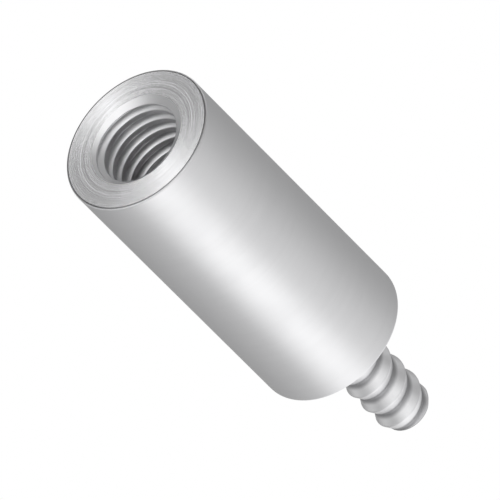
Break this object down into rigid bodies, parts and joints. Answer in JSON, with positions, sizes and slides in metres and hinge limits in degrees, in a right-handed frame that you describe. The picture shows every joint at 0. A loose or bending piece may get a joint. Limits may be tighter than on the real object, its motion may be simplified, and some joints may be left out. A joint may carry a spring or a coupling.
{
  "type": "round standoff",
  "caption": "Round male-female aluminium standoff: a plain cylinder with a tapped blind hole in one end and a threaded stud on the other.",
  "frame": {"origin": "centre of the female end's flat face, which the part stands on", "axes": "+Z along the part's axis, from the female face towards the stud's tip; X and Y are free, because the body is round"},
  "size_m": [0.008, 0.008, 0.0255],
  "materials": {
    "turned_aluminium": "bright turned aluminium, satin, with fine turning marks round the body and in rings on the faces"
  },
  "bodies": {
    "root": {"standoff": "turned_aluminium"}
  },
  "joints": []
}
